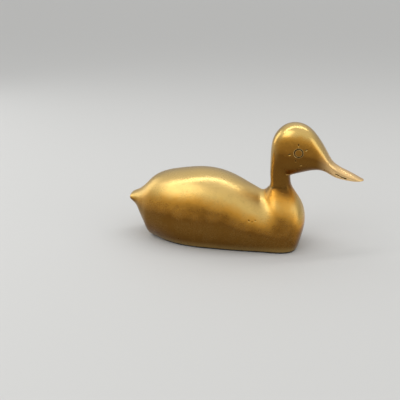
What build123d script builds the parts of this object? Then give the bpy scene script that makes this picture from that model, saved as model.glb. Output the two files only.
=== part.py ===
"""A hollow cast brass decoy duck: two castings drawn together by a stud through the neck.

The origin is on the surface that the duck stands on, under the middle of its whole length.
The bill points along +X, and Y = 0 is the plane of symmetry.
"""
from build123d import *
import math
import os

# Body casting
body_length = 134.8     # from the tail's tip to the front of the breast
body_height = 46.5      # from the rim up to the seat that the neck stands on
body_width = 57.0       # across the flanks
body_wall = 3.0         # thickness of the cast wall
neck_from_tail = 115.3  # from the tail's tip to the middle of the neck

# Head casting
head_height = 45.5      # from the seat to the crown
head_reach = 58.4       # from the middle of the neck to the tip of the bill
head_width = 25.0       # across the cheeks
neck_length = 15.4      # the neck at its seat, front to back
neck_width = 15.0       # the neck at its seat, side to side

# Oval tenon under the neck, which keys the head into the body
tenon_length = 9.6
tenon_width = 8.0
tenon_depth = 5.0
tenon_play = 0.15       # gap all round the tenon and below it

# Stud, washer and nut
stud_diameter = 5.0
stud_grip = 11.0        # how far the stud screws into the head
stud_end = 2.0          # how far the stud stands past the nut
stud_chamfer = 0.6
stud_hole_play = 0.25   # gap all round the stud where it passes through the body
thread_play = 0.05      # gap all round a thread
drill_margin = 1.5      # depth of the tapped hole past the stud's end
socket_floor = 4.6      # metal between the tenon's socket and the washer
washer_diameter = 10.0
washer_thickness = 1.0
nut_across_flats = 8.0
nut_height = 4.0
nut_chamfer = 0.5
spot_face_margin = 1.6  # how much wider the spot face is than the washer, all round

# Eye plugs, each in a drilled socket with a ring cut round its mouth
eye_diameter = 5.2
eye_depth = 4.0
eye_play = 0.05         # gap all round a plug
eye_ring_width = 0.6
eye_ring_depth = 1.3    # from the widest of the cheek down to the ring's floor
eye_forward = 12.1      # from the middle of the neck
eye_above_seat = 26.6

# Mouth, a cut filed into each side of the bill
mouth_forward = 38.6    # from the middle of the neck to the mouth's corner
mouth_above_seat = 10.6
mouth_length = 8.0
mouth_opening = 0.9
mouth_floor = 4.4       # half the metal left between the two cuts
mouth_slope = 17.5      # degrees below level

# Felt pad glued under the rim
pad_thickness = 1.2
pad_inset = 0.9         # how far the pad's edge lies inside the casting's

# How far a cut runs past what it cuts
overrun = 20.0

# Places worked out from the sizes above
total_length = neck_from_tail + head_reach
tail_x = -total_length / 2
neck_x = tail_x + neck_from_tail
rim_z = pad_thickness
seat_z = rim_z + body_height
socket_z = seat_z - tenon_depth - tenon_play
washer_z = socket_z - socket_floor
nut_z = washer_z - washer_thickness
eye_x = neck_x + eye_forward
eye_z = seat_z + eye_above_seat
eye_floor = head_width / 2 - eye_depth
eye_ring_floor = head_width / 2 - eye_ring_depth
boss_diameter = washer_diameter + 2 * spot_face_margin
nut_corner_radius = nut_across_flats / math.sqrt(3)

# Handles of a quarter ellipse drawn as a cubic curve, as a share of its half axes
ellipse_handle_share = 0.5523

# How full the neck's section is at its seat, where 1 is an ellipse and more is boxier
neck_fullness_share = 1.25

# Sections of the body from the tail to the neck. Each stands on a line from an inner
# point on the back to an outer point on the belly or the breast. A row holds the inner
# point's x and z, the outer point's x and z and the half width, as shares of the
# body's length, height and half width, then how full the section's inner and outer
# halves are, where 1 is an ellipse and more is boxier.
tail_section_shares = (
    (0.000, 0.650, 0.000, 0.585, 0.17, 1.10, 1.10),
    (0.008, 0.672, 0.010, 0.550, 0.25, 1.10, 1.10),
    (0.037, 0.712, 0.044, 0.455, 0.34, 1.10, 1.10),
    (0.068, 0.775, 0.072, 0.270, 0.46, 1.10, 1.05),
    (0.095, 0.850, 0.096, 0.100, 0.56, 1.10, 1.00),
    (0.120, 0.925, 0.114, -0.010, 0.64, 1.10, 1.00),
)
hull_section_shares = (
    (0.150, 0.995, 0.145, -0.060, 0.72, 1.10, 1.00),
    (0.200, 1.062, 0.195, -0.125, 0.82, 1.10, 1.00),
    (0.262, 1.108, 0.262, -0.215, 0.91, 1.10, 1.00),
    (0.326, 1.140, 0.326, -0.280, 0.96, 1.10, 1.02),
    (0.400, 1.165, 0.400, -0.320, 0.99, 1.10, 1.05),
    (0.497, 1.152, 0.497, -0.320, 1.00, 1.08, 1.06),
    (0.597, 1.062, 0.608, -0.300, 1.00, 1.05, 1.03),
    (0.680, 0.942, 0.700, -0.290, 0.96, 1.00, 1.02),
    (0.725, 0.878, 0.780, -0.280, 0.91, 0.95, 1.05),
    (0.752, 0.850, 0.865, -0.260, 0.86, 0.90, 1.24),
    (0.769, 0.862, 0.938, -0.172, 0.80, 0.92, 1.46),
    (0.781, 0.890, 0.985, 0.129, 0.72, 0.94, 1.42),
    (0.790, 0.921, 1.000, 0.409, 0.60, 0.98, 1.36),
)
neck_root_section_shares = (
    (0.797, 0.947, 0.979, 0.667, 0.44, 1.06, 1.30),
    (0.800, 0.973, 0.936, 0.871, 0.295, 1.16, 1.26),
)
body_section_shares = tail_section_shares + hull_section_shares + neck_root_section_shares

# Sections of the head from the neck to the bill, in the same order, from an inner point
# on the throat and chin to an outer point on the nape, the crown and the bill, as
# shares of the head's reach, height and half width, measured from the neck's seat.
head_section_shares = (
    (0.120, 0.090, -0.131, 0.105, 0.585, 1.25, 1.25),
    (0.118, 0.128, -0.136, 0.250, 0.60, 1.25, 1.25),
    (0.122, 0.150, -0.137, 0.450, 0.69, 1.20, 1.25),
    (0.135, 0.162, -0.103, 0.780, 0.87, 1.15, 1.22),
    (0.160, 0.175, 0.035, 0.970, 0.98, 1.12, 1.20),
    (0.215, 0.197, 0.195, 0.996, 1.00, 1.10, 1.20),
    (0.295, 0.230, 0.330, 0.915, 0.96, 1.10, 1.20),
    (0.375, 0.257, 0.450, 0.745, 0.84, 1.10, 1.18),
    (0.465, 0.267, 0.540, 0.570, 0.69, 1.10, 1.15),
    (0.555, 0.232, 0.617, 0.418, 0.56, 1.08, 1.12),
    (0.649, 0.167, 0.706, 0.332, 0.50, 1.06, 1.10),
    (0.760, 0.134, 0.806, 0.269, 0.49, 1.06, 1.10),
    (0.880, 0.120, 0.909, 0.205, 0.45, 1.10, 1.10),
    (0.960, 0.125, 0.968, 0.165, 0.33, 1.10, 1.10),
    (1.000, 0.135, 1.000, 0.150, 0.15, 1.10, 1.10),
)


def half_section(inner, outer, spread, inner_fullness, outer_fullness):
    """The +Y half of a section that stands on the line from inner to outer."""
    line = outer - inner
    plane = Plane(origin=(inner + outer) / 2, x_dir=line, z_dir=line.cross(Vector(0, 1, 0)))
    reach = line.length / 2
    outer_handle = ellipse_handle_share * outer_fullness
    inner_handle = ellipse_handle_share * inner_fullness
    with BuildSketch(plane) as sketch:
        with BuildLine():
            Bezier((reach, 0), (reach, spread * outer_handle), (reach * outer_handle, spread), (0, spread))
            Bezier((0, spread), (-reach * inner_handle, spread), (-reach, spread * inner_handle), (-reach, 0))
            Line((-reach, 0), (reach, 0))
        make_face()
    return sketch.sketch


def inset_points(points, inset):
    """Points in the XZ plane moved sideways, to the left of the line that they follow."""
    moved = []
    for index, point in enumerate(points):
        along = points[min(index + 1, len(points) - 1)] - points[max(index - 1, 0)]
        moved.append(point + along.cross(Vector(0, 1, 0)).normalized() * inset)
    return moved


def half_sections(rows, start_x, start_z, length, height, width, inset=0.0):
    """One half section for each row of shares, drawn in from the surface by the inset."""
    inner = [Vector(start_x + row[0] * length, 0, start_z + row[1] * height) for row in rows]
    outer = [Vector(start_x + row[2] * length, 0, start_z + row[3] * height) for row in rows]
    half_widths = [row[4] * width / 2 - inset for row in rows]
    ends = zip(inset_points(inner, -inset), inset_points(outer, inset), half_widths, rows)
    return [half_section(low, high, half, row[5], row[6]) for low, high, half, row in ends]


# The neck's ends at the seat, where the two castings meet
nape = Vector(neck_x - neck_length / 2, 0, seat_z)
throat = Vector(neck_x + neck_length / 2, 0, seat_z)
neck_form = (neck_width / 2, neck_fullness_share, neck_fullness_share)
body_frame = (tail_x, rim_z, body_length, body_height, body_width)
head_frame = (neck_x, seat_z, head_reach, head_height, head_width)

# The outer surface of each casting, the cavity in the hull and the block that the pad's
# outline is cut from, each as a half that is mirrored
with BuildPart() as body_skin:
    loft(half_sections(body_section_shares, *body_frame) + [half_section(nape, throat, *neck_form)])
    mirror(about=Plane.XZ)

with BuildPart() as cavity:
    loft(half_sections(hull_section_shares, *body_frame, inset=body_wall), ruled=True)
    mirror(about=Plane.XZ)

with BuildPart() as pad_shape:
    loft(half_sections(body_section_shares, *body_frame, inset=pad_inset))
    mirror(about=Plane.XZ)
    split(bisect_by=Plane.XY.offset(rim_z), keep=Keep.TOP)

with BuildPart() as head_skin:
    loft([half_section(throat, nape, *neck_form)] + half_sections(head_section_shares, *head_frame))
    mirror(about=Plane.XZ)

# Body casting
with BuildPart() as body_casting:
    add(body_skin.part)
    split(bisect_by=Plane.XY.offset(rim_z), keep=Keep.TOP)
    add(cavity.part, mode=Mode.SUBTRACT)

    # Boss under the neck, spot-faced for the washer
    with BuildSketch(Plane.XY.offset(washer_z)):
        with Locations((neck_x, 0)):
            Circle(boss_diameter / 2)
    extrude(amount=socket_floor)
    with BuildSketch(Plane.XY.offset(washer_z)):
        with Locations((neck_x, 0)):
            Circle(boss_diameter / 2)
    extrude(amount=-overrun, mode=Mode.SUBTRACT)

    # Socket for the tenon and hole for the stud
    with BuildSketch(Plane.XY.offset(seat_z)):
        with Locations((neck_x, 0)):
            SlotOverall(tenon_length + 2 * tenon_play, tenon_width + 2 * tenon_play)
    extrude(amount=socket_z - seat_z, mode=Mode.SUBTRACT)
    with BuildSketch(Plane.XY.offset(seat_z)):
        with Locations((neck_x, 0)):
            Circle(stud_diameter / 2 + stud_hole_play)
    extrude(amount=washer_z - seat_z - overrun, mode=Mode.SUBTRACT)

# Head casting
with BuildPart() as head_casting:
    add(head_skin.part)

    # Tenon
    with BuildSketch(Plane.XY.offset(seat_z)):
        with Locations((neck_x, 0)):
            SlotOverall(tenon_length, tenon_width)
    extrude(amount=-tenon_depth)

    # Tapped hole for the stud
    with BuildSketch(Plane.XY.offset(seat_z - tenon_depth)):
        with Locations((neck_x, 0)):
            Circle(stud_diameter / 2 + thread_play)
    extrude(amount=stud_grip + drill_margin, mode=Mode.SUBTRACT)

    for side in (1, -1):
        # Ring round the eye plug, then the plug's socket, both drilled from the side
        with BuildSketch(Plane(origin=(eye_x, side * eye_ring_floor, eye_z), z_dir=(0, side, 0))):
            Circle(eye_diameter / 2 + eye_ring_width)
        extrude(amount=overrun, mode=Mode.SUBTRACT)
        with BuildSketch(Plane(origin=(eye_x, side * (eye_floor - eye_play), eye_z), z_dir=(0, side, 0))):
            Circle(eye_diameter / 2 + eye_play)
        extrude(amount=overrun, mode=Mode.SUBTRACT)

        # Mouth, a wedge filed in from the side
        corner = Vector(neck_x + mouth_forward, side * mouth_floor, seat_z + mouth_above_seat)
        along = Vector(math.cos(math.radians(mouth_slope)), 0, -math.sin(math.radians(mouth_slope)))
        with BuildSketch(Plane(origin=corner, x_dir=along, z_dir=(0, side, 0))):
            with BuildLine():
                Polyline((0, 0), (mouth_length, -mouth_opening / 2), (mouth_length, mouth_opening / 2), close=True)
            make_face()
        extrude(amount=overrun, mode=Mode.SUBTRACT)

# Stud that draws the two castings together
with BuildPart() as neck_stud:
    with BuildSketch(Plane.XY.offset(nut_z - nut_height - stud_end)):
        with Locations((neck_x, 0)):
            Circle(stud_diameter / 2)
    extrude(amount=seat_z - tenon_depth + stud_grip - (nut_z - nut_height - stud_end))
    chamfer(neck_stud.edges().filter_by(GeomType.CIRCLE), length=stud_chamfer)

# Washer on the boss
with BuildPart() as neck_washer:
    with BuildSketch(Plane.XY.offset(washer_z)):
        with Locations((neck_x, 0)):
            Circle(washer_diameter / 2)
            Circle(stud_diameter / 2 + stud_hole_play, mode=Mode.SUBTRACT)
    extrude(amount=-washer_thickness)

# Nut, a chamfered bar cut to a hexagon
with BuildPart() as neck_nut:
    with BuildSketch(Plane.XY.offset(nut_z)):
        with Locations((neck_x, 0)):
            Circle(nut_corner_radius)
    extrude(amount=-nut_height)
    chamfer(neck_nut.edges().filter_by(GeomType.CIRCLE), length=nut_chamfer)
    with BuildSketch(Plane.XY.offset(nut_z)):
        with Locations((neck_x, 0)):
            RegularPolygon(nut_corner_radius, side_count=6)
            Circle(stud_diameter / 2 + thread_play, mode=Mode.SUBTRACT)
    extrude(amount=-nut_height, mode=Mode.INTERSECT)

# Eye plugs, finished flush with the cheeks
eye_plugs = {}
for name, side in (("eye_left", 1), ("eye_right", -1)):
    with BuildPart() as eye_plug:
        with BuildSketch(Plane(origin=(eye_x, side * eye_floor, eye_z), z_dir=(0, side, 0))):
            Circle(eye_diameter / 2)
        extrude(amount=overrun)
        add(head_skin.part, mode=Mode.INTERSECT)
    eye_plugs[name] = eye_plug

# Felt pad glued to the rim
with BuildPart() as base_pad:
    pad_outline = pad_shape.faces().sort_by(Axis.Z)[0].outer_wire()
    extrude(Face(pad_outline), amount=pad_thickness, dir=(0, 0, -1))

# Each piece is written under its own name
os.makedirs("parts", exist_ok=True)
pieces = {
    "body_casting": body_casting,
    "head_casting": head_casting,
    "neck_stud": neck_stud,
    "neck_washer": neck_washer,
    "neck_nut": neck_nut,
    **eye_plugs,
    "base_pad": base_pad,
}
for name, piece in pieces.items():
    piece.part.label = name
    export_step(piece.part, f"parts/{name}.step")
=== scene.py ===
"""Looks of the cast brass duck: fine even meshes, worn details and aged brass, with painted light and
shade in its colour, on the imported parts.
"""
import math

import bmesh
import bpy
import numpy as np
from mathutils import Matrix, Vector
from mathutils.bvhtree import BVHTree


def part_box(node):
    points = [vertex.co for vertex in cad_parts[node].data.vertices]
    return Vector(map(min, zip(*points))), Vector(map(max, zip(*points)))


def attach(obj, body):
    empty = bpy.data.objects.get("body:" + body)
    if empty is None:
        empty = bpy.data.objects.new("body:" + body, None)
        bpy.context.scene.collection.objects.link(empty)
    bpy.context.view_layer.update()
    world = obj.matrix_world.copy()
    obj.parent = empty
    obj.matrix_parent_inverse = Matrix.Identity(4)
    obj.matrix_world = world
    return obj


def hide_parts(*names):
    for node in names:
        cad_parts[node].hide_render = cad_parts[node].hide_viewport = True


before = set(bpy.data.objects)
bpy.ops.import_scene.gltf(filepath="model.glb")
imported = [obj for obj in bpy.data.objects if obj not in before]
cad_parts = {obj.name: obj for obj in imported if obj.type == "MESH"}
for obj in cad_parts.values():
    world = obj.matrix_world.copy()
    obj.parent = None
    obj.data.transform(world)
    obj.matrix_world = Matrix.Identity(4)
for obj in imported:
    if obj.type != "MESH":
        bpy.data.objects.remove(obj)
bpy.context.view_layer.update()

# Lengths are written in millimetres and turned into the frame's metres
mm = 0.001

# Camera at the photograph's viewing angle
camera_place = Vector((50.0, -386.3, 180.9)) * mm
camera_target = Vector((-32.1, 0.0, 29.3)) * mm
camera_angle = math.radians(40.0)

# Sizes of the meshes' squares
body_grain = 0.5 * mm
head_grain = 0.25 * mm
eye_grain = 0.14 * mm
pad_grain = 0.4 * mm

# How the meshes are laid on the frame's surfaces and evened out
merge_distance = 0.002 * mm
curved_share = 0.75         # how far points go towards the curved surface behind flat triangles
settle_limit = 0.06 * mm    # and the longest such move
overlap = 12.0 * mm         # how far the two castings' meshes run past the seat before they are cut
push = 0.5                  # share of the way to its neighbours' middle that a point goes in a step
pull = -0.52                # and back out, against shrinking
wide_rounds = 6
plug_rounds = 2
recess_reach = 0.6 * mm     # how wide a groove or an edge can be and still catch dirt and painted shade, or wear
sharp_angle = math.radians(30)
crisp_angle = math.radians(50)

# Places that the marks are measured from: the right eye, and the neck's middle at its seat,
# which is the highest level face of the body near the stud
eye = sum(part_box("eye_right"), Vector()) / 2
neck = sum(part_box("neck_stud"), Vector()) / 2
neck_reach = 8.0 * mm
level_normal = 0.999
neck.z = max(
    face.center.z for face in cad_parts["body_casting"].data.polygons
    if face.normal.z > level_normal and (face.center - neck).xy.length < neck_reach)


def mirrored(points):
    """The same line on the duck's left."""
    return tuple((forward, -left, up) for forward, left, up in points)


# Marks where the photograph shows them. Each is a line of points with half its width and its depth,
# in millimetres. A point is forward, to the left and above, from the eye or the neck.
notch = ((4.4, -7.0, 9.2), (7.0, -5.7, 9.0), (9.8, -5.2, 9.6))
crease = ((29.9, -6.0, 13.3), (30.2, -7.3, 15.0), (31.4, -7.9, 17.5), (32.7, -7.2, 18.9))
lips = ((38.6, -6.3, 11.0), (42.0, -5.6, 9.8), (45.9, -4.5, 8.3))

# Five nicks round the right eye
eye_marks = (
    (((-0.4, 0, 4.9), (-0.5, 0, 5.8)), 0.50, 0.45),
    (((4.3, 0, 2.2), (5.3, 0, 2.5)), 0.50, 0.45),
    (((-6.4, 0, -1.6), (-5.6, 0, -1.1)), 0.52, 0.42),
    (((-1.9, 0, -5.1), (-1.7, 0, -6.0)), 0.46, 0.42),
    (((1.3, 0, -9.1), (2.2, 0, -8.7), (3.1, 0, -9.0)), 0.50, 0.48),
)

# The notch under the jaw and the mouth's lips on both sides, the bill's crease and a file mark
head_marks = (
    (notch, 0.55, 0.8),
    (mirrored(notch), 0.55, 0.8),
    (crease, 0.9, 0.13),
    (((6.2, -5.0, 0.8), (6.7, -4.4, 1.5)), 0.45, 0.2),
    (lips, 0.85, 0.8),
    (mirrored(lips), 0.85, 0.8),
)

# Two file marks under the joint, and four pits on the flank
body_marks = (
    (((1.0, -7.6, -1.0), (1.2, -7.7, -1.8)), 0.6, 0.22),
    (((1.8, -8.7, -4.0), (2.5, -8.9, -4.3)), 0.7, 0.2),
    (((-19.6, -25.0, -21.6), (-19.2, -25.0, -22.0)), 0.75, 0.26),
    (((-17.2, -24.5, -22.9), (-17.1, -24.5, -22.7)), 0.6, 0.2),
    (((-15.2, -23.8, -21.6), (-14.8, -23.6, -21.9)), 0.7, 0.22),
    (((-18.2, -26.6, -32.3), (-17.9, -26.6, -33.1)), 0.75, 0.22),
)
mark_step = 0.3 * mm

# How far the joint is dressed smooth above and below the seat, how far round the neck's middle,
# and how widely
joint_height = 6.0 * mm
joint_radius = 14.0 * mm
joint_smoothing = 2.6 * mm

# The middle of the darkening round the joint, and how far from it the darkening is full and ends
joint_dark_middle = neck - Vector((0, 0, 4)) * mm
joint_dark_full = 7.0 * mm
joint_dark_end = 22.0 * mm

# Low on the sides the brass is darkened, painted shade with some tarnish, and higher up it is not, from
# these heights. The edge that the duck is set down on is worn.
shade_full_below = 4.0 * mm
shade_ends_above = 42.0 * mm
edge_worn_below = 1.5 * mm
edge_dull_above = 7.0 * mm

# Where the bill starts and where it is bright, from the neck's middle, and how far above and
# below the neck's seat the polished head turns into the satin body
bill_start = 24.0 * mm
bill_bright = 40.0 * mm
satin_end = 7.0 * mm

# From where to where a value goes from none to all: a normal's part along an axis for the faces that
# look forward, aft and upward, the depth below the surroundings in millimetres for wear, and for
# dirt with painted shade, and a pattern's value for specks and the patches that they lie in
forward_range = (0.4, 0.95)
aft_range = (-0.30, -1.0)
upward_range = (0.1, 0.6)
worn_range = (-0.04, -0.12)
shade_and_grime_range = (0.02, 0.10)
speck_range = (0.47, 0.66)
patch_range = (0.36, 0.58)

# Brass from dark to bright: painted shade with some tarnish at the dark end, a painted orange reflection
# in the middle, and painted light from above with some hand polish at the bright end
brass_light_and_shade_tones = (
    (0.06, (0.185, 0.084, 0.014, 1)),
    (0.16, (0.180, 0.077, 0.012, 1)),
    (0.28, (0.380, 0.172, 0.025, 1)),
    # The orange stops are a painted warm reflection between the shaded sides and the lit top
    (0.39, (0.700, 0.335, 0.047, 1)),
    (0.46, (0.730, 0.390, 0.074, 1)),
    (0.58, (0.730, 0.490, 0.150, 1)),
    (0.95, (0.645, 0.455, 0.175, 1)),
)

# What moves the brass up and down that scale; the gains by which way a surface faces are painted light,
# and the loss low down is painted shade
plain_tone = 0.04
upward_light_gain = 0.75
forward_light_gain = 0.24
cloud_gain = 0.30
mottle_gain = 0.10
joint_loss = 0.42
low_shade_loss = 0.12
body_loss = 0.07

# Colours that lie over it, and how far they cover it
# The pale tone on faces looking aft is a painted reflection, and the same tone marks the worn foot
reflection_and_wear_tone = (0.56, 0.39, 0.14, 1)
bill_tone = (1.0, 0.67, 0.31, 1)
edge_tone = (0.76, 0.55, 0.23, 1)
speck_tone = (0.30, 0.185, 0.06, 1)
# Painted shade with dirt in the grooves
shade_and_grime_tone = (0.028, 0.018, 0.008, 1)
aft_cover = 0.75
aft_cover_lost_low = 0.6    # how much less it is low down
foot_cover = 0.5
bill_cover = 0.92
speck_cover = 0.5
head_specks = 0.2           # share of the body's specks that the head has
worn_cover = 0.45
shade_and_grime_cover = 0.95

# Roughness of the polished brass, and what adds to it
polish = 0.18
mottle_rough = 0.14
satin_rough = 0.12
dirt_rough = 0.25

# Each pattern's features to a metre, its layers of detail and how strong the finer ones are
patterns = {
    "clouds": (38, 2.5, 0.55),
    "mottle": (240, 4.0, 0.55),
    "specks": (1900, 4.0, 0.7),
    "patches": (75, 3.0, 0.55),
    "dents": (110, 2.0, 0.55),
    "streaks": (1700, 3.0, 0.55),
    "pits": (900, 3.0, 0.55),
    "fibres": (2200, 5.0, 0.7),
    "spangle": (700, 4.0, 0.55),
}
streak_scale = (0.12, 1.0, 0.5)    # the streaks run along the duck

# Strength and height of each relief
dent_relief = (0.3, 0.25 * mm)
streak_relief = (0.10, 0.03 * mm)
pit_relief = (0.14, 0.06 * mm)
felt_relief = (0.6, 0.2 * mm)

# The felt's and the zinc's tones, their roughness, and the floor's
felt_tones = ((0.012, 0.012, 0.012, 1), (0.05, 0.05, 0.045, 1))
felt_rough = 0.95
zinc_tones = ((0.5, 0.5, 0.49, 1), (0.68, 0.67, 0.64, 1))
zinc_rough_range = (-0.5, 1.8)
floor_reach = 15.0
floor_tone = (0.60, 0.60, 0.59, 1)
floor_rough = 0.7

# Light from all round, from the horizon to high above, and where the lamps point
horizon_light = (0.42, 0.42, 0.43, 1)
high_light = (0.86, 0.86, 0.85, 1)
high_from = 0.9
lamp_target = Vector((0, 0, 0.04))

# Each lamp's place, length, width, turn and power. The strip lies level, turned by that many
# degrees, and the others face the duck.
lamps = (
    ("strip", (-0.10, 0.08, 0.75), 1.4, 0.07, 25, 1.7),
    ("key", (-0.45, -0.55, 0.75), 0.6, 0.6, None, 1.6),
    ("front", (0.75, -0.20, 0.28), 0.4, 0.5, None, 0.5),
    ("rear", (-0.75, 0.25, 0.30), 0.4, 0.5, None, 0.9),
)


def new_piece(name, mesh):
    """A scene object that holds the mesh."""
    piece = bpy.data.objects.new(name, mesh)
    bpy.context.scene.collection.objects.link(piece)
    return piece


def read(layer, name, width):
    """One attribute of a mesh's elements as an array."""
    values = np.zeros(len(layer) * width)
    layer.foreach_get(name, values)
    return values.reshape(-1, width)


def cad_surface(*nodes):
    """CAD nodes joined into one mesh of triangles, with their shared vertices merged."""
    bm = bmesh.new()
    for node in nodes:
        bm.from_mesh(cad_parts[node].data)
    bmesh.ops.remove_doubles(bm, verts=bm.verts, dist=merge_distance)
    bmesh.ops.triangulate(bm, faces=bm.faces)
    mesh = bpy.data.meshes.new("cad_surface")
    bm.to_mesh(mesh)
    bm.free()
    mesh.shade_smooth()
    mesh.set_sharp_from_angle(angle=sharp_angle)
    return mesh


def even_mesh(source, grain):
    """A mesh of even squares round the source's solid."""
    piece = new_piece("even", source)
    even = piece.modifiers.new("even", "REMESH")
    even.mode = "VOXEL"
    even.voxel_size = grain
    graph = bpy.context.evaluated_depsgraph_get()
    mesh = bpy.data.meshes.new_from_object(piece.evaluated_get(graph))
    bpy.data.objects.remove(piece)
    return mesh


def surface_tree(mesh):
    """A search tree of a mesh's triangles, with their corners."""
    corners = read(mesh.vertices, "co", 3)
    triangles = read(mesh.polygons, "vertices", 3).astype(int)
    return BVHTree.FromPolygons(corners.tolist(), triangles.tolist()), corners, triangles


def settle(mesh, source):
    """Lays each vertex on the curved surface that the source's flat triangles stand for."""
    tree, corners, triangles = surface_tree(source)
    normals = read(source.corner_normals, "vector", 3).reshape(-1, 3, 3)
    found = [tree.find_nearest(vertex.co) for vertex in mesh.vertices]
    point = np.array([place for place, normal, index, distance in found])
    index = np.array([index for place, normal, index, distance in found])
    a, b, c = (corners[triangles[index, k]] for k in range(3))
    area = np.cross(b - a, c - a)
    size = np.maximum((area * area).sum(1), 1e-30)
    second = (np.cross(point - a, c - a) * area).sum(1) / size
    third = (np.cross(b - a, point - a) * area).sum(1) / size
    weights = np.stack([1 - second - third, second, third], 1)
    curved = np.zeros_like(point)
    for k, corner in enumerate((a, b, c)):
        normal = normals[index, k]
        drop = ((point - corner) * normal).sum(1, keepdims=True)
        curved += weights[:, k:k + 1] * (point - drop * normal)
    move = curved_share * (curved - point)
    length = np.maximum(np.linalg.norm(move, axis=1, keepdims=True), 1e-12)
    place = point + move * np.minimum(1, settle_limit / length)
    mesh.vertices.foreach_set("co", place.ravel())
    mesh.update()


def averaged(mesh, place, steps):
    """The vertices' places after steps that each move them towards their neighbours' middle, or away."""
    edges = read(mesh.edges, "vertices", 2).astype(int)
    ends = np.concatenate([edges[:, 0], edges[:, 1]])
    others = np.concatenate([edges[:, 1], edges[:, 0]])
    count = np.maximum(np.bincount(ends, minlength=len(place)), 1)[:, None]
    for step in steps:
        total = np.stack([np.bincount(ends, place[others, k], len(place)) for k in range(3)], 1)
        place = place + step * (total / count - place)
    return place


def relax(mesh, rounds):
    """Evens the surface out without shrinking it."""
    place = averaged(mesh, read(mesh.vertices, "co", 3), [push, pull] * rounds)
    mesh.vertices.foreach_set("co", place.ravel())
    mesh.update()


def smoothed(mesh, place, reach, grain):
    """The vertices' places once what is narrower than the reach is evened out."""
    return averaged(mesh, place, [push] * round(2 * (reach / grain) ** 2))


def dress_joint(mesh, grain):
    """Files the joint between the castings smooth, most at the seat."""
    place = read(mesh.vertices, "co", 3)
    smooth = smoothed(mesh, place, joint_smoothing, grain)
    from_seat = abs(place[:, 2] - neck.z) / joint_height
    from_middle = np.linalg.norm(place[:, :2] - neck.xy, axis=1) / joint_radius
    share = np.clip(1 - from_seat ** 2, 0, 1) * np.clip(1 - from_middle ** 4, 0, 1)
    place += share[:, None] * (smooth - place)
    mesh.vertices.foreach_set("co", place.ravel())
    mesh.update()


def press_marks(mesh, source, origin, marks):
    """Presses the marks into the mesh, each along its line of points laid on the source."""
    tree = surface_tree(source)[0]
    place = read(mesh.vertices, "co", 3)
    normal = read(mesh.vertices, "normal", 3)
    for points, half_width, depth in marks:
        line = [origin + Vector(point) * mm for point in points]
        near = np.full(len(place), np.inf)
        for start, end in zip(line, line[1:]):
            steps = max(1, round((end - start).length / mark_step))
            for step in range(steps + 1):
                spot = tree.find_nearest(start.lerp(end, step / steps))[0]
                near = np.minimum(near, np.linalg.norm(place - np.array(spot), axis=1))
        share = np.clip(1 - (near / (half_width * mm)) ** 2, 0, 1) ** 2
        place -= normal * (share * depth * mm)[:, None]
    mesh.vertices.foreach_set("co", place.ravel())
    mesh.update()


def note_recesses(mesh, grain):
    """Writes on each vertex how far it lies below its surroundings, in millimetres."""
    place = read(mesh.vertices, "co", 3)
    normal = read(mesh.vertices, "normal", 3)
    smooth = smoothed(mesh, place, recess_reach, grain)
    below = ((smooth - place) * normal).sum(1) / mm
    mesh.attributes.new("recess", "FLOAT", "POINT").data.foreach_set("value", below)


def cut_level(mesh, height, keep_above):
    """Cuts a mesh at a level, keeps one side and closes it."""
    bm = bmesh.new()
    bm.from_mesh(mesh)
    cut = bmesh.ops.bisect_plane(
        bm, geom=bm.verts[:] + bm.edges[:] + bm.faces[:], plane_co=(0, 0, height), plane_no=(0, 0, 1),
        clear_inner=keep_above, clear_outer=not keep_above)
    rim = [item for item in cut["geom_cut"] if isinstance(item, bmesh.types.BMEdge)]
    bmesh.ops.triangle_fill(bm, edges=rim, use_beauty=True)
    bmesh.ops.recalc_face_normals(bm, faces=bm.faces)
    bm.to_mesh(mesh)
    bm.free()


def finish_piece(name, mesh, node, material):
    """The mesh as a piece that stands for a CAD node."""
    mesh.shade_smooth()
    mesh.set_sharp_from_angle(angle=crisp_angle)
    mesh.materials.append(material)
    piece = new_piece(name, mesh)
    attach(piece, "root")
    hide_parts(node)
    return piece


def make_body(whole, material):
    """The body, cut at the seat from an even skin round both castings."""
    mesh = even_mesh(whole.copy(), body_grain)
    settle(mesh, whole)
    relax(mesh, wide_rounds)
    dress_joint(mesh, body_grain)
    press_marks(mesh, whole, neck, body_marks)
    note_recesses(mesh, body_grain)
    cut_level(mesh, neck.z, keep_above=False)
    return finish_piece("body", mesh, "body_casting", material)


def make_head(whole, material):
    """The head, cut at the seat from a finer skin, so that it meets the body flush."""
    upper = whole.copy()
    cut_level(upper, neck.z - overlap, keep_above=True)
    mesh = even_mesh(upper, head_grain)
    settle(mesh, whole)
    relax(mesh, wide_rounds)
    dress_joint(mesh, head_grain)
    press_marks(mesh, whole, eye, eye_marks)
    press_marks(mesh, whole, neck, head_marks)
    note_recesses(mesh, head_grain)
    cut_level(mesh, neck.z, keep_above=True)
    return finish_piece("head", mesh, "head_casting", material)


def make_eye(name, node, material):
    """An eye plug."""
    source = cad_surface(node)
    mesh = even_mesh(source.copy(), eye_grain)
    settle(mesh, source)
    relax(mesh, plug_rounds)
    note_recesses(mesh, eye_grain)
    return finish_piece(name, mesh, node, material)


def make_pad(material):
    """The felt pad, with its edge rounded by wear."""
    source = cad_surface("base_pad")
    mesh = even_mesh(source.copy(), pad_grain)
    settle(mesh, source)
    relax(mesh, wide_rounds)
    pad = finish_piece("felt_pad", mesh, "base_pad", material)
    return pad


def new_material(name):
    """A node material, its shader and its tree."""
    material = bpy.data.materials.new(name)
    material.use_nodes = True
    return material, material.node_tree.nodes["Principled BSDF"], material.node_tree


def connect(tree, socket, value):
    """Sets a socket to a value, or links it to another node's output."""
    if isinstance(value, bpy.types.NodeSocket):
        tree.links.new(value, socket)
    else:
        socket.default_value = value


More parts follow.
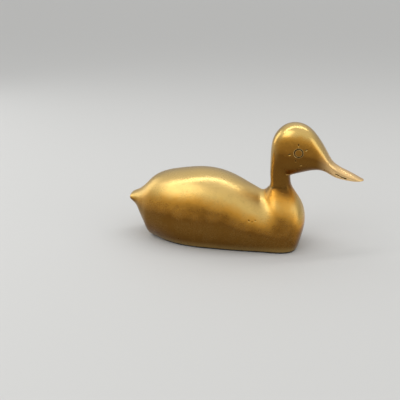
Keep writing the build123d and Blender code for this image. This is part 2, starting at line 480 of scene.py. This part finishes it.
def add(tree, kind, settings=None, inputs=None):
    """A node's outputs, with its settings, and with inputs that are values or other nodes' outputs."""
    node = tree.nodes.new(kind)
    for name, value in (settings or {}).items():
        setattr(node, name, value)
    for name, value in (inputs or {}).items():
        connect(tree, node.inputs[name], value)
    return node.outputs


def sums(tree, operation, first, second):
    """One sum of two values."""
    return add(tree, "ShaderNodeMath", {"operation": operation}, {0: first, 1: second})[0]


def plus(tree, first, *others):
    """The values added up."""
    for other in others:
        first = sums(tree, "ADD", first, other)
    return first


def times(tree, first, second):
    """One value multiplied by another."""
    return sums(tree, "MULTIPLY", first, second)


def parts_of(tree, vector):
    """A vector's parts along the axes."""
    return add(tree, "ShaderNodeSeparateXYZ", None, {"Vector": vector})


def ramp(tree, value, low, high):
    """The value stretched so that low becomes 0 and high becomes 1."""
    inputs = {"Value": value, "From Min": low, "From Max": high}
    return add(tree, "ShaderNodeMapRange", {"interpolation_type": "SMOOTHSTEP"}, inputs)["Result"]


def noise(tree, place, pattern):
    """Soft random values in one of the patterns."""
    scale, detail, roughness = patterns[pattern]
    inputs = {"Vector": place, "Scale": scale, "Detail": detail, "Roughness": roughness}
    return add(tree, "ShaderNodeTexNoise", None, inputs)["Fac"]


def blend(tree, share, first, second):
    """The first colour where the share is 0 and the second where it is 1."""
    node = tree.nodes.new("ShaderNodeMix")
    node.data_type = "RGBA"
    values = {"Factor_Float": share, "A_Color": first, "B_Color": second}
    for socket in node.inputs:
        if socket.identifier in values:
            connect(tree, socket, values[socket.identifier])
    return next(socket for socket in node.outputs if socket.identifier == "Result_Color")


def tones(tree, value, stops):
    """A colour that follows the stops as the value goes from 0 to 1."""
    node = tree.nodes.new("ShaderNodeValToRGB")
    connect(tree, node.inputs["Fac"], value)
    elements = node.color_ramp.elements
    for index, (place, colour) in enumerate(stops):
        stop = elements[index] if index < 2 else elements.new(place)
        stop.position = place
        stop.color = colour
    return node.outputs["Color"]


def bump(tree, height, strength, distance, normal=None):
    """A surface raised where the height is greater."""
    inputs = {"Height": height, "Strength": strength, "Distance": distance}
    if normal:
        inputs["Normal"] = normal
    return add(tree, "ShaderNodeBump", None, inputs)["Normal"]


def brass(name):
    """Old cast brass with painted light: bright on top as a painted highlight and along its worn edges,
    brown on its sides as painted shade, and dark in its grooves as painted shade with dirt.
    """
    material, shader, tree = new_material(name)
    place = add(tree, "ShaderNodeTexCoord")["Object"]
    along = parts_of(tree, place)
    facing = parts_of(tree, add(tree, "ShaderNodeNewGeometry")["Normal"])
    recess = add(tree, "ShaderNodeAttribute", {"attribute_name": "recess"})["Fac"]
    from_joint = add(
        tree, "ShaderNodeVectorMath", {"operation": "DISTANCE"}, {0: place, 1: joint_dark_middle})["Value"]

    # Regions of the duck, each 1 inside and 0 outside
    satin = ramp(tree, along["Z"], neck.z + satin_end, neck.z - satin_end)
    bill = ramp(tree, along["X"], neck.x + bill_start, neck.x + bill_bright)
    joint = ramp(tree, from_joint, joint_dark_end, joint_dark_full)
    low = ramp(tree, along["Z"], shade_ends_above, shade_full_below)
    foot = ramp(tree, along["Z"], edge_dull_above, edge_worn_below)
    forward = ramp(tree, facing["X"], *forward_range)
    aft = ramp(tree, facing["X"], *aft_range)
    upward = ramp(tree, facing["Z"], *upward_range)
    worn = ramp(tree, recess, *worn_range)
    shade_and_grime = ramp(tree, recess, *shade_and_grime_range)

    # Painted light, brighter where the surface faces up or forward, partly also rubbing; painted shade
    # with some tarnish low down; darker round the neck's joint; in clouds
    clouds = noise(tree, place, "clouds")
    mottle = noise(tree, place, "mottle")
    lit_and_rubbed = plus(
        tree, times(tree, facing["Z"], upward_light_gain), times(tree, forward, forward_light_gain), plain_tone)
    uneven = plus(tree, times(tree, clouds, cloud_gain), times(tree, mottle, mottle_gain))
    darkened = plus(
        tree, times(tree, joint, joint_loss), times(tree, low, low_shade_loss), times(tree, satin, body_loss))
    colour = tones(tree, sums(tree, "SUBTRACT", plus(tree, lit_and_rubbed, uneven), darkened), brass_light_and_shade_tones)

    # A painted reflection, paler, on the nape and the tail's end where they face aft; worn along the
    # foot; and bright on the bill
    aft_share = sums(tree, "SUBTRACT", aft_cover, times(tree, low, aft_cover_lost_low))
    colour = blend(tree, times(tree, aft, aft_share), colour, reflection_and_wear_tone)
    colour = blend(tree, times(tree, foot, foot_cover), colour, reflection_and_wear_tone)
    colour = blend(tree, times(tree, bill, bill_cover), colour, bill_tone)

    # Specked with tarnish, most on the back and shoulders, which are less handled than the head
    specks = times(
        tree, ramp(tree, noise(tree, place, "specks"), *speck_range),
        ramp(tree, noise(tree, place, "patches"), *patch_range))
    tarnish = times(tree, specks, times(tree, plus(tree, satin, head_specks), speck_cover))
    colour = blend(tree, tarnish, colour, speck_tone)

    # Worn edges, then painted shade with dirt in the grooves
    colour = blend(tree, times(tree, worn, worn_cover), colour, edge_tone)
    colour = blend(tree, times(tree, shade_and_grime, shade_and_grime_cover), colour, shade_and_grime_tone)
    connect(tree, shader.inputs["Base Color"], colour)
    shader.inputs["Metallic"].default_value = 1.0

    # Satin on top of the body, and rougher still in tarnish and dirt
    on_top = times(tree, times(tree, satin, upward), satin_rough)
    dirt = times(tree, plus(tree, tarnish, shade_and_grime), dirt_rough)
    rough = plus(tree, times(tree, mottle, mottle_rough), polish, on_top, dirt)
    connect(tree, shader.inputs["Roughness"], rough)

    # Hand-worked: faint dents, then polishing streaks, then pits
    stretched = add(tree, "ShaderNodeMapping", None, {"Vector": place, "Scale": streak_scale})["Vector"]
    pitted = sums(tree, "SUBTRACT", noise(tree, place, "pits"), tarnish)
    normal = bump(tree, noise(tree, place, "dents"), *dent_relief)
    normal = bump(tree, noise(tree, stretched, "streaks"), *streak_relief, normal)
    connect(tree, shader.inputs["Normal"], bump(tree, pitted, *pit_relief, normal))
    return material


def felt():
    """Dark pressed felt."""
    material, shader, tree = new_material("felt")
    fibres = noise(tree, add(tree, "ShaderNodeTexCoord")["Object"], "fibres")
    connect(tree, shader.inputs["Base Color"], blend(tree, fibres, *felt_tones))
    shader.inputs["Roughness"].default_value = felt_rough
    connect(tree, shader.inputs["Normal"], bump(tree, fibres, *felt_relief))
    return material


def zinc():
    """Dull zinc-plated steel."""
    material, shader, tree = new_material("zinc")
    spangle = noise(tree, add(tree, "ShaderNodeTexCoord")["Object"], "spangle")
    connect(tree, shader.inputs["Base Color"], blend(tree, spangle, *zinc_tones))
    shader.inputs["Metallic"].default_value = 1.0
    connect(tree, shader.inputs["Roughness"], ramp(tree, spangle, *zinc_rough_range))
    return material


def make_floor():
    """A plain pale floor."""
    mesh = bpy.data.meshes.new("floor")
    corners = [(x * floor_reach, y * floor_reach, 0) for x, y in ((-1, -1), (1, -1), (1, 1), (-1, 1))]
    mesh.from_pydata(corners, [], [range(len(corners))])
    material, shader = new_material("floor")[:2]
    shader.inputs["Base Color"].default_value = floor_tone
    shader.inputs["Roughness"].default_value = floor_rough
    mesh.materials.append(material)
    new_piece("floor", mesh)


def make_light():
    """Even light from above that falls off towards the floor's horizon, and soft lamps."""
    world = bpy.data.worlds.new("studio")
    bpy.context.scene.world = world
    world.use_nodes = True
    tree = world.node_tree
    direction = parts_of(tree, add(tree, "ShaderNodeTexCoord")["Generated"])
    height = ramp(tree, direction["Z"], 0.0, high_from)
    background = tree.nodes["Background"]
    connect(tree, background.inputs["Color"], blend(tree, height, horizon_light, high_light))

    for name, place, length, width, turn, power in lamps:
        lamp = bpy.data.lights.new(name, "AREA")
        lamp.shape = "RECTANGLE"
        lamp.size = length
        lamp.size_y = width
        lamp.energy = power
        holder = bpy.data.objects.new(name, lamp)
        holder.location = place
        if turn is None:
            holder.rotation_euler = (lamp_target - holder.location).to_track_quat("-Z", "Y").to_euler()
        else:
            holder.rotation_euler.z = math.radians(turn)
        bpy.context.scene.collection.objects.link(holder)


def make_camera():
    """The photograph's point of view."""
    lens = bpy.data.cameras.new("camera")
    lens.angle = camera_angle
    camera = bpy.data.objects.new("camera", lens)
    camera.location = camera_place
    camera.rotation_euler = (camera_target - camera_place).to_track_quat("-Z", "Y").to_euler()
    bpy.context.scene.collection.objects.link(camera)
    bpy.context.scene.camera = camera


body_brass = brass("body_brass")
head_brass = brass("head_brass")
castings = cad_surface("body_casting", "head_casting")
make_body(castings, body_brass)
make_head(castings, head_brass)
make_eye("left_eye", "eye_left", head_brass)
make_eye("right_eye", "eye_right", head_brass)
make_pad(felt())
plating = zinc()
for node in ("neck_stud", "neck_washer", "neck_nut"):
    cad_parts[node].data.materials.clear()
    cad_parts[node].data.materials.append(plating)

make_floor()
make_light()
make_camera()
bpy.context.scene.view_settings.view_transform = "Standard"
